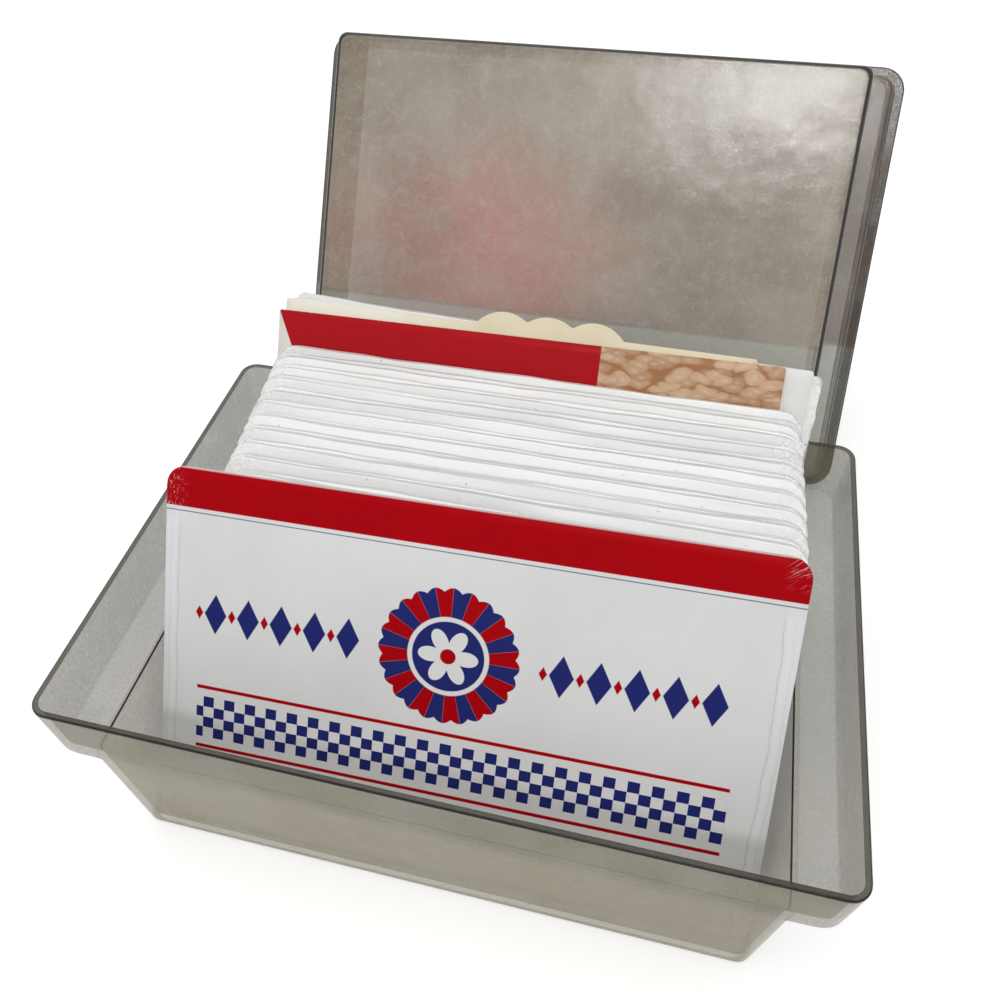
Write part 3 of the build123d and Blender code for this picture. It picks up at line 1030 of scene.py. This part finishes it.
@dataclass(frozen=True)
class WrappedPaper:
    """White card edges under glossy shrink film, with long creases and puckered ends, painted
    highlights along the film's folds, glints and crinkles, and painted shade beside the gaps
    between packs and in the crinkles.

    The last scales keep the noise of neighbouring packs apart.
    """

    space: CardSpace
    half_width: float
    name: str
    paper: Colour = srgb(221, 221, 220)
    grey_tone_and_gap_shade: Colour = srgb(194, 194, 194)
    film_light_and_shade: Colour = srgb(248, 248, 247)
    speck: Colour = srgb(120, 104, 88)
    puckered: tuple[float, float] = (16.0, 2.0)
    apart: tuple[float, float] = (7.3, 1.0)

    def make(self) -> bpy.types.Material:
        """Build the material."""
        g = Graph(self.name)
        straight, u, _, w = self.space.in_shader(g)
        near = self.space.near_face
        place = g.moved(straight, (near * self.apart[0], near * self.apart[1], 0))
        edges = g.noise(place, (0.004, 0.95, 0.02), detail=1.5)
        streak = g.noise(place, (0.012, 2.0, 0.1), detail=2.0)
        glint = g.noise(place, (0.006, 1.0, 0.05), detail=1.0)
        crease = g.noise(place, (0.05, 1.1, 0.35), detail=2.0, twist=0.4)
        pucker = g.noise(place, (0.5, 0.9, 0.6), detail=4.0, rough=0.6, twist=2.4)
        dirt = g.noise(place, (0.54, 0.9, 0.9), detail=2.0)
        broken = g.fit(g.noise(place, (0.012, 0.3, 0.05), detail=2.0), 0.36, 0.6, 0.55, 1.0)
        side = g.fit(g.size(u), self.half_width - self.puckered[0], self.half_width - self.puckered[1])
        middle = g.size(g.less(g.times(w, 2 / self.space.thickness), 1.0))
        tone = g.blend(0.25, g.fit(edges, 0.36, 0.58), g.fit(streak, 0.4, 0.6))
        colour = g.layered(self.grey_tone_and_gap_shade, (
            (tone, self.paper),
            # Painted shade: a grey band just inside each face, beside the gap to the next pack.
            (g.times(g.within(middle, 0.6, 0.74, 0.05), 0.4), self.grey_tone_and_gap_shade),
            # Painted highlight: bright film folds along each face, broken here and there.
            (g.times(g.fit(middle, 0.78, 0.86), broken), self.film_light_and_shade),
            # Painted highlight: thin glint lines on the film.
            (g.times(g.fit(glint, 0.6, 0.66), 0.8), self.film_light_and_shade),
            # Painted shade and painted highlight on the crinkled film at the pack's ends.
            (g.times(g.fall(pucker, 0.32, 0.46), side, 0.6), self.grey_tone_and_gap_shade),
            (g.times(g.fit(pucker, 0.53, 0.6), side, 0.9), self.film_light_and_shade),
            (g.times(g.fit(dirt, 0.73, 0.77), 0.5), self.speck),
        ))
        film = g.blend(side, g.times(crease, 0.12), pucker)
        bump = g.bump(film, 0.4, 0.0008, g.bump(edges, 0.3, 0.0003))
        return g.finish(
            Base_Color=colour, Roughness=0.34, Normal=bump, Coat_Weight=0.35, Coat_Roughness=0.14, IOR=1.48
        )


@dataclass(frozen=True)
class PlainCard:
    """Uncoated card stock with faint fibre, lighter at its left end where that is bleached."""

    space: CardSpace
    name: str
    stock: Colour
    fibre: Colour
    bleached: Colour
    bleached_to: tuple[float, float] = (-30.0, 5.0)

    def make(self) -> bpy.types.Material:
        """Build the material."""
        g = Graph(self.name)
        place, u, _, _ = self.space.in_shader(g)
        fibre = g.noise(place, 1.6, detail=5.0, rough=0.65)
        cloud = g.noise(place, 0.06)
        colour = g.layered(self.stock, (
            (g.times(g.fit(cloud, 0.4, 0.7), 0.5), self.fibre),
            (g.fall(g.plus(u, g.times(cloud, 30.0)), *self.bleached_to), self.bleached),
            (g.times(g.fit(fibre, 0.52, 0.7), 0.18), self.fibre),
        ))
        return g.finish(Base_Color=colour, Roughness=0.6, Normal=g.bump(fibre, 0.12, 0.0002))


@dataclass(frozen=True)
class DividerPrint:
    """Coated white card with a red top band and a generic rosette over a checked strip.

    Heights of the rules and the strip are measured from the card's foot, the band's and the
    thin line's from its top. The clear sleeve's fold runs near each side as a painted grey shade
    line, with a painted whiter sheen of the sleeve beyond it.
    """

    space: CardSpace
    height: float
    half_width: float
    white: Colour = srgb(224, 224, 224)
    shade: Colour = srgb(218, 218, 219)
    red: Colour = srgb(172, 4, 16)
    red_shade: Colour = srgb(164, 2, 12)
    navy: Colour = srgb(34, 42, 108)
    film_light_and_shade: Colour = srgb(120, 122, 128)
    painted_sleeve_sheen: Colour = srgb(236, 238, 241)
    band: float = 10.7
    line: tuple[float, float] = (12.0, 11.7)
    middle: tuple[float, float] = (-2.0, 62.0)
    rules: Sequence[tuple[float, float]] = ((40.2, 41.2), (22.8, 23.8))
    strip: tuple[float, float] = (26.0, 38.0)
    strip_half: float = 70.0
    square: float = 3.0
    row: tuple[float, float] = (23.0, 69.0)
    pitch: float = 9.2
    lozenge_slope: float = 0.55
    navy_lozenge: tuple[float, float] = (3.1, 0.9)
    red_lozenge: tuple[float, float] = (1.05, 5.5)
    folds: Sequence[tuple[float, float]] = ((78.6, 78.8), (81.0, 81.3))

    def rosette(self, g: Graph, u: Any, v: Any) -> tuple[Any, Any]:
        """A round rosette: scalloped ring of wedges, white ring, and a disc with a flower.

        With a the angle round its middle, the wedges alternate with the sign of sin(12 a), the
        outer edge is at 17.2 + 1.1 |cos(12 a)| and the petals' at 3.6 + 4.2 |cos(3 a)|.

        Args:
            g: the graph to add to.
            u: place across, millimetres.
            v: height up the card.

        Returns:
            How much red and how much navy ink lies at each place.
        """
        du, dv = g.less(u, self.middle[0]), g.less(v, self.middle[1])
        radius, angle = g.length(du, dv), g.math("ARCTAN2", dv, du)
        turn = g.times(angle, 12.0)
        rim = g.plus(17.2, g.times(g.size(g.math("COSINE", turn)), 1.1))
        wedge = g.fit(g.math("SINE", turn), -0.06, 0.06)
        ring = g.times(g.fit(g.less(rim, radius), -0.12, 0.12), g.fit(radius, 10.4, 10.7))
        petal = g.plus(3.6, g.times(g.size(g.math("COSINE", g.times(angle, 3.0))), 4.2))
        flower = g.fit(g.less(petal, radius), -0.12, 0.12)
        eye = g.fall(radius, 1.9, 2.15)
        red = g.math("ADD", g.times(ring, wedge), eye, clamp=True)
        open_ring = g.times(ring, g.less(1.0, wedge))
        open_disc = g.times(g.fall(radius, 9.2, 9.45), g.less(1.0, flower))
        return red, g.math("ADD", open_ring, open_disc, clamp=True)

    def lozenges(self, g: Graph, u: Any, v: Any, size: float, shift: float) -> Any:
        """A row of lozenges: ink where |u'| + slope |v'| is less than their half width.

        Args:
            g: the graph to add to.
            u: place across.
            v: height up the card.
            size: half width of one lozenge.
            shift: slides the row sideways.

        Returns:
            How much ink lies at each place.
        """
        turn = g.math("PINGPONG", g.plus(u, shift), self.pitch / 2)
        rise = g.size(g.less(v, self.middle[1]))
        ink = g.fall(g.plus(turn, g.times(rise, self.lozenge_slope)), size - 0.14, size + 0.14)
        return g.times(ink, g.within(g.size(g.less(u, self.middle[0])), *self.row, 0.05))

    def checks(self, g: Graph, u: Any, v: Any) -> Any:
        """A strip of small squares: ink where the whole parts of u and v add to an odd number."""
        across = g.math("FLOOR", g.math("DIVIDE", g.plus(u, 200.0), self.square))
        up = g.math("FLOOR", g.math("DIVIDE", g.less(v, self.strip[0]), self.square))
        odd = g.math("GREATER_THAN", g.math("MODULO", g.plus(across, up), 2.0), 0.5)
        return g.times(odd, g.within(v, *self.strip, 0.05))

    def rubbed(self, g: Graph, place: Any, u: Any, v: Any, band: Any) -> Any:
        """Nicks in the right top corner and specks at the band's left end."""
        slanted = g.moved(place, turn=(0, 38, 0))
        nick = g.fit(g.noise(slanted, (0.22, 1, 2.6), rough=0.6, twist=0.3), 0.56, 0.6)
        speck = g.fit(g.noise(place, (2.2, 1, 0.7), detail=4.0, rough=0.7), 0.56, 0.64)
        high = g.fit(v, self.height - 9, self.height - 2)
        right_corner = g.times(g.fit(u, self.half_width - 7, self.half_width - 1.5), high)
        left_end = g.times(g.fall(u, 1 - self.half_width, 7 - self.half_width), band)
        return g.math("ADD", g.times(nick, right_corner), g.times(speck, left_end), clamp=True)

    def inks(self, g: Graph, place: Any, u: Any, v: Any) -> tuple[Any, Any]:
        """How much red and how much navy ink lies at each place."""
        band = g.fit(v, self.height - self.band - 0.1, self.height - self.band + 0.1)
        line = g.within(v, self.height - self.line[0], self.height - self.line[1], 0.06)
        rosette_red, rosette_navy = self.rosette(g, u, v)
        in_width = g.fall(g.size(u), self.strip_half - 0.1, self.strip_half + 0.1)
        rules = g.times(g.plus(*(g.within(v, *rule, 0.08) for rule in self.rules)), in_width)
        strip = g.times(self.checks(g, u, v), in_width)
        red = g.most(band, rosette_red, self.lozenges(g, u, v, *self.red_lozenge), rules)
        navy = g.most(g.times(line, 0.75), rosette_navy, self.lozenges(g, u, v, *self.navy_lozenge), strip)
        kept = g.less(1.0, g.times(self.rubbed(g, place, u, v, band), 0.55))
        # Painted highlight: red ink thinned along the very top edge, so that it shows paler.
        top_edge_highlight = g.fit(v, self.height - 0.5, self.height - 0.1, 1.0, 0.35)
        return g.times(red, kept, top_edge_highlight), navy

    def make(self) -> bpy.types.Material:
        """Build the material."""
        g = Graph("printed divider card")
        place, u, v, w = self.space.in_shader(g)
        front = g.fall(w, 0.25, 0.5)
        red, navy = self.inks(g, place, u, v)
        sway = g.plus(g.size(u), g.times(g.noise(place, (0.02, 0, 0.03), rough=0.6), 5.0))
        near_fold, far_fold = self.folds
        # Painted shade: grey lines along the sleeve's folds, fading out towards the band; they also dent the
        # bump.
        film_light_and_shade = g.plus(g.within(sway, *near_fold, 0.12), g.times(g.within(sway, *far_fold, 0.2), 0.4))
        film_light_and_shade = g.times(film_light_and_shade, g.fit(v, self.height - 20, self.height - 12, 0.26, 0.0))
        # Painted sheen: the sleeve drawn whiter beyond its near fold, fading out towards the band.
        painted_sleeve_sheen = g.fit(v, self.height - 16, self.height - 11.5, 0.35, 0.0)
        colour = g.layered(self.white, (
            (g.fit(g.noise(place, 0.03, detail=4.0), 0.35, 0.7), self.shade),
            (g.times(navy, front), self.navy),
            (g.times(red, front), g.mix(g.noise(place, 0.09, rough=0.6), self.red, self.red_shade)),
            (g.times(g.fit(sway, 79.0, 79.6), painted_sleeve_sheen), self.painted_sleeve_sheen),
            (film_light_and_shade, self.film_light_and_shade),
        ))
        crease = g.noise(place, (0.03, 1.0, 0.012), twist=0.6)
        fine = g.bump(g.noise(place, 1.4, detail=4.0, rough=0.6), 0.06, 0.0002)
        bump = g.bump(g.less(crease, g.times(film_light_and_shade, 0.3)), 0.35, 0.004, fine)
        return g.finish(Base_Color=colour, Roughness=0.4, Normal=bump, Specular_IOR_Level=0.04)


@dataclass(frozen=True)
class PicturePrint:
    """Glossy card: plain red on the left, a mass of pale oblong shapes on the right."""

    space: CardSpace
    half_width: float
    height: float
    red: Colour = srgb(172, 20, 28)
    gap: Colour = srgb(164, 118, 80)
    pale: Colour = srgb(182, 144, 112)
    light: Colour = srgb(204, 170, 140)
    shine: Colour = srgb(232, 214, 196)
    bare: Colour = srgb(226, 222, 214)
    stock: Colour = srgb(232, 229, 222)
    split: float = 24.5
    slope: float = 0.42
    cell: tuple[float, float] = (0.18, 0.40)
    cell_turn: float = 28.0
    wander: float = 5.0

    def food(self, g: Graph, u: Any, v: Any) -> Any:
        """Oblong cells with paler middles and brown gaps.

        Args:
            g: the graph to add to.
            u: place across, millimetres.
            v: height up the card.

        Returns:
            The colour.
        """
        flat = g.join(u, v, 0.0)
        drift = g.put("ShaderNodeTexNoise", {"Vector": flat, "Scale": 0.13, "Detail": 1.0}).outputs["Color"]
        inputs = {0: flat, 1: g.scaled(drift, (self.wander, self.wander, 0))}
        bent = g.put("ShaderNodeVectorMath", inputs, operation="ADD").outputs[0]
        turned = g.moved(bent, turn=(0, 0, self.cell_turn), scale=(*self.cell, 1))
        inputs = {"Vector": turned, "Scale": 1.0, "Randomness": 0.9}
        cells = g.put("ShaderNodeTexVoronoi", inputs, feature="F1", voronoi_dimensions="2D")
        away, tint = cells.outputs["Distance"], g.split(cells.outputs["Color"])[0]
        return g.layered(self.gap, (
            (g.fall(away, 0.42, 0.72), g.mix(g.fit(tint, 0.2, 0.8), self.pale, self.light)),
            (g.fit(away, 0.0, 0.3, 0.3, 0.0), self.shine),
        ))

    def make(self) -> bpy.types.Material:
        """Build the material."""
        g = Graph("glossy picture card")
        place, u, v, w = self.space.in_shader(g)
        slant = g.plus(u, self.half_width, g.times(g.less(v, self.height), self.slope))
        worn = g.fit(g.noise(place, 0.9, detail=5.0, rough=0.7), 0.62, 0.7)
        picture = g.layered(self.red, (
            (g.fit(u, self.split - 0.1, self.split + 0.1), self.food(g, u, v)),
            (g.fall(slant, -0.1, 0.15), self.bare),
            (g.times(worn, g.fit(v, self.height - 1, self.height)), self.bare),
        ))
        colour = g.mix(g.fall(w, 0.2, 0.45), self.stock, picture)
        bump = g.bump(g.noise(place, (0.04, 1, 0.02), detail=2.0), 0.3, 0.003)
        return g.finish(Base_Color=colour, Roughness=0.3, Normal=bump, Specular_IOR_Level=0.08)


@dataclass
class Deck:
    """Every card and pack from the front of the tray to the back."""

    floor_width: float = 161.687
    pack_count: int = 21
    pack_thickness: float = 2.96
    pack_side_gap: float = 0.9
    pack_corner: float = 6.0
    left_gaps: tuple[float, float] = (13.2, 1.0)
    heights: tuple[float, float] = (99.2, 85.2)
    wander: float = 0.6
    step: float = 1.6
    card_gap: float = 0.2
    thin: float = 0.7
    square_corner: float = 0.8
    divider_thickness: float = 0.8
    divider_rise: float = 1.9
    divider_side_gap: float = 0.7
    divider_corner: float = 5.5
    divider_tip: float = -0.9
    divider_shift: float = 1.0
    picture_side_gap: float = 4.2
    picture_height: float = 95.1
    picture_tip: float = -0.6
    picture_shift: float = -3.0
    scalloped_width: float = 143.6
    scalloped_height: float = 97.3
    scalloped_tip: float = 0.4
    scalloped_shift: float = -7.8
    scallop_middle: float = 3.7
    scallop_pitch: float = 13.6
    index_side_gap: float = 2.0
    index_height: float = 95.3
    index_drop: float = 0.3
    index_tip: float = 1.0
    rear_side_gap: float = 0.4
    rear_corner: float = 2.0
    rear_tip: float = 2.2
    rear_height: float = 91.3
    rear_drop: float = 5.0
    rear_count: int = 3
    rear_seed: int = 50
    cream: Sequence[Colour] = (srgb(224, 212, 184), srgb(214, 199, 168), srgb(234, 229, 214))
    index_white: Sequence[Colour] = (srgb(232, 232, 229), srgb(220, 219, 214), srgb(233, 232, 227))

    def build_divider(self, near_face: float) -> float:
        """Make the printed divider and return where the next card starts."""
        half = self.floor_width / 2 - self.divider_side_gap
        space = CardSpace(near_face, self.divider_thickness, self.divider_tip, half, self.divider_shift)
        height = self.heights[0] + self.divider_rise
        names = "printed_divider", "front_divider"
        card = Card(*names, Body.DIVIDER, Slot.DIVIDER, space, half, height, self.divider_corner)
        card.build(DividerPrint(space, height, half).make())
        return near_face + self.divider_thickness + self.card_gap

    def build_packs(self, near_face: float) -> float:
        """Make the film-wrapped packs and return where the next card starts."""
        bodies = (Body.FRONT_PACKS, Body.MIDDLE_PACKS, Body.BACK_PACKS)
        right = self.floor_width / 2 - self.pack_side_gap
        for place in range(self.pack_count):
            share = place / (self.pack_count - 1)
            gap = self.left_gaps[0] + (self.left_gaps[1] - self.left_gaps[0]) * share
            gap += self.wander * math.sin(self.step * place)
            height = self.heights[0] + (self.heights[1] - self.heights[0]) * share
            height += self.wander * math.cos(2 * self.step * place)
            left = -self.floor_width / 2 + gap
            half = (right - left) / 2
            space = CardSpace(near_face, self.pack_thickness, 0.0, half, (right + left) / 2)
            body = bodies[place * len(bodies) // self.pack_count]
            count = place + 1
            names = f"film_pack_{count:02d}", f"card_pack_{count:02d}"
            pack = Pack(*names, body, space, half, height, self.pack_corner, count)
            pack.build(WrappedPaper(space, half, f"cards in clear film {count:02d}").make())
            near_face += self.pack_thickness + self.card_gap
        return near_face

    def build_picture(self, near_face: float) -> float:
        """Make the picture card and return where the next card starts."""
        half = self.floor_width / 2 - self.picture_side_gap
        space = CardSpace(near_face, self.thin, self.picture_tip, half, self.picture_shift)
        names = "glossy_picture_card", "picture_card"
        size = half, self.picture_height
        card = Card(*names, Body.PICTURE, Slot.PICTURE, space, *size, self.square_corner)
        card.build(PicturePrint(space, *size).make())
        return near_face + self.thin + self.card_gap

    def build_scalloped(self, near_face: float) -> float:
        """Make the cream card with the scalloped top and return where the next card starts."""
        half = self.scalloped_width / 2
        space = CardSpace(near_face, self.thin, self.scalloped_tip, half, self.scalloped_shift)
        middle = self.scallop_middle - self.scalloped_shift
        names = "cream_scalloped_card", "scalloped_card"
        card = Card(
            *names, Body.SCALLOPED, Slot.CREAM, space, half, self.scalloped_height, self.square_corner,
            scallops=(middle - self.scallop_pitch, middle, middle + self.scallop_pitch),
            plan=RoundedPlan(160, 10, 4),
        )
        card.build(PlainCard(space, "cream card", *self.cream).make())
        return near_face + self.thin + self.card_gap

    def build_index_cards(self, near_face: float) -> float:
        """Make the two white index cards and return where the next pack starts."""
        half = self.floor_width / 2 - self.index_side_gap
        for count, body in enumerate((Body.INDEX_1, Body.INDEX_2), start=1):
            space = CardSpace(near_face, self.thin, self.index_tip, half)
            height = self.index_height - self.index_drop * count
            names = f"white_index_card_{count}", f"index_card_{count}"
            card = Card(*names, body, Slot.INDEX, space, half, height, self.square_corner)
            card.build(PlainCard(space, f"index card {count}", *self.index_white).make())
            near_face += self.thin + self.card_gap
        return near_face

    def build_rear_packs(self, near_face: float) -> None:
        """Make the packs behind the index cards."""
        half = self.floor_width / 2 - self.rear_side_gap
        for place in range(self.rear_count):
            space = CardSpace(near_face, self.pack_thickness, self.rear_tip, half)
            height = self.rear_height - self.rear_drop * place
            names = f"rear_film_pack_{place + 1}", f"rear_pack_{place + 1}"
            seed = self.rear_seed + place
            pack = Pack(*names, Body.REAR_PACKS, space, half, height, self.rear_corner, seed)
            pack.build(WrappedPaper(space, half, f"rear cards in clear film {place + 1}").make())
            near_face += self.pack_thickness + self.card_gap

    def build(self) -> None:
        """Make the whole deck from front to back."""
        near_face = self.build_divider(0.0)
        near_face = self.build_packs(near_face)
        near_face = self.build_picture(near_face)
        near_face = self.build_scalloped(near_face)
        near_face = self.build_index_cards(near_face)
        self.build_rear_packs(near_face)


# Studio


@dataclass(frozen=True)
class Lamp:
    """One soft lamp: where it hangs and how wide and high it is, in metres, and its watts."""

    name: str
    place: tuple[float, float, float]
    size: tuple[float, float]
    power: float


@dataclass
class Studio:
    """Camera, pale floor, plain white surroundings and soft lamps."""

    camera_place: tuple[float, float, float] = (0.0421, -0.1641, 0.2637)
    yaw: float = 16.56
    pitch: float = 44.65
    roll: float = -2.94
    lens: float = 35.51
    sensor: float = 36.0
    clip: tuple[float, float] = (0.01, 50.0)
    shift: tuple[float, float] = (0.0473, -0.0343)
    floor_size: float = 40.0
    floor_glow: float = 0.38
    floor_tints: Sequence[Colour] = ((0.80, 0.80, 0.80), (0.82, 0.82, 0.815))
    world_level: float = 0.66
    aim: tuple[float, float, float] = (0.0, 0.04, 0.06)
    lamps: Sequence[Lamp] = (
        Lamp("window", (0.15, -0.85, 1.10), (0.36, 0.14), 4.0),
        Lamp("ceiling", (-0.3, 0.2, 1.5), (1.2, 1.2), 4.5),
    )

    def camera(self) -> None:
        """Stand the camera where the photograph was taken from."""
        yaw, pitch, roll = (math.radians(angle) for angle in (self.yaw, self.pitch, self.roll))
        level = math.cos(pitch)
        forward = np.array([-math.sin(yaw) * level, math.cos(yaw) * level, -math.sin(pitch)])
        right = np.array([math.cos(yaw), math.sin(yaw), 0.0])
        up = np.cross(right, forward)
        matrix = np.eye(4)
        matrix[:3, 0] = math.cos(roll) * right + math.sin(roll) * up
        matrix[:3, 1] = math.cos(roll) * up - math.sin(roll) * right
        matrix[:3, 2] = -forward
        matrix[:3, 3] = self.camera_place
        data = bpy.data.cameras.new("camera")
        data.lens, data.sensor_width = self.lens, self.sensor
        data.shift_x, data.shift_y = self.shift
        data.clip_start, data.clip_end = self.clip
        camera = bpy.data.objects.new("camera", data)
        camera.matrix_world = Matrix(matrix.tolist())
        bpy.context.scene.collection.objects.link(camera)
        bpy.context.scene.camera = camera

    def hang(self, lamp: Lamp) -> None:
        """Hang one soft lamp and point it at the part.

        Args:
            lamp: the lamp to hang.
        """
        data = bpy.data.lights.new(lamp.name, "AREA")
        data.shape, data.energy = "RECTANGLE", lamp.power
        data.size, data.size_y = lamp.size
        back = np.array(lamp.place) - np.array(self.aim)
        back /= np.linalg.norm(back)
        side = np.cross([0.0, 0.0, 1.0], back)
        side /= np.linalg.norm(side)
        matrix = np.eye(4)
        matrix[:3] = np.stack([side, np.cross(back, side), back, np.array(lamp.place)], axis=1)
        hung = bpy.data.objects.new(lamp.name, data)
        hung.matrix_world = Matrix(matrix.tolist())
        bpy.context.scene.collection.objects.link(hung)

    def surroundings(self) -> None:
        """A world that lights softly and shows plain white to the camera, in gloss and through plastic."""
        world = bpy.data.worlds.new("studio")
        bpy.context.scene.world = world
        world.use_nodes = True
        tree = world.node_tree
        path = tree.nodes.new("ShaderNodeLightPath")
        shown = path.outputs["Is Camera Ray"]
        for label in ("Is Glossy Ray", "Is Transmission Ray"):
            add = tree.nodes.new("ShaderNodeMath")
            add.operation = "MAXIMUM"
            tree.links.new(shown, add.inputs[0])
            tree.links.new(path.outputs[label], add.inputs[1])
            shown = add.outputs[0]
        level = tree.nodes.new("ShaderNodeMapRange")
        tree.links.new(shown, level.inputs["Value"])
        level.inputs["To Min"].default_value = self.world_level
        level.inputs["To Max"].default_value = 1.0
        background = tree.nodes["Background"]
        background.inputs["Color"].default_value = (1, 1, 1, 1)
        tree.links.new(level.outputs[0], background.inputs["Strength"])

    def floor(self) -> None:
        """A plain pale floor that shows white to the camera and keeps the object's soft shadow."""
        half = self.floor_size / 2
        corners = [(-half, -half, 0), (half, -half, 0), (half, half, 0), (-half, half, 0)]
        mesh = bpy.data.meshes.new("floor")
        mesh.from_pydata(corners, [], [(0, 1, 2, 3)])
        floor = bpy.data.objects.new("floor", mesh)
        bpy.context.scene.collection.objects.link(floor)
        g = Graph("pale floor")
        colour = g.mix(g.noise(g.place(), 3.0, detail=2.0), *self.floor_tints)
        path = g.put("ShaderNodeLightPath").outputs
        seen = g.most(path["Is Camera Ray"], path["Is Glossy Ray"], path["Is Transmission Ray"])
        material = g.finish(
            Base_Color=colour, Roughness=0.9, Specular_IOR_Level=0.1, Emission_Color=(1.0, 1.0, 1.0, 1.0),
            Emission_Strength=g.times(seen, self.floor_glow),
        )
        mesh.materials.append(material)

    def build(self) -> None:
        """Set up the camera, the floor and the light."""
        self.camera()
        self.surroundings()
        self.floor()
        for lamp in self.lamps:
            self.hang(lamp)
        bpy.context.scene.view_settings.view_transform = "Standard"


def main() -> None:
    """Set up the studio, then build every sub-assembly in order."""
    logging.basicConfig(level=logging.INFO, format="%(name)s %(message)s")
    Studio().build()
    Deck().build()
    TrayShell().build()
    LidShell().build()


if __name__ == "__main__":
    main()
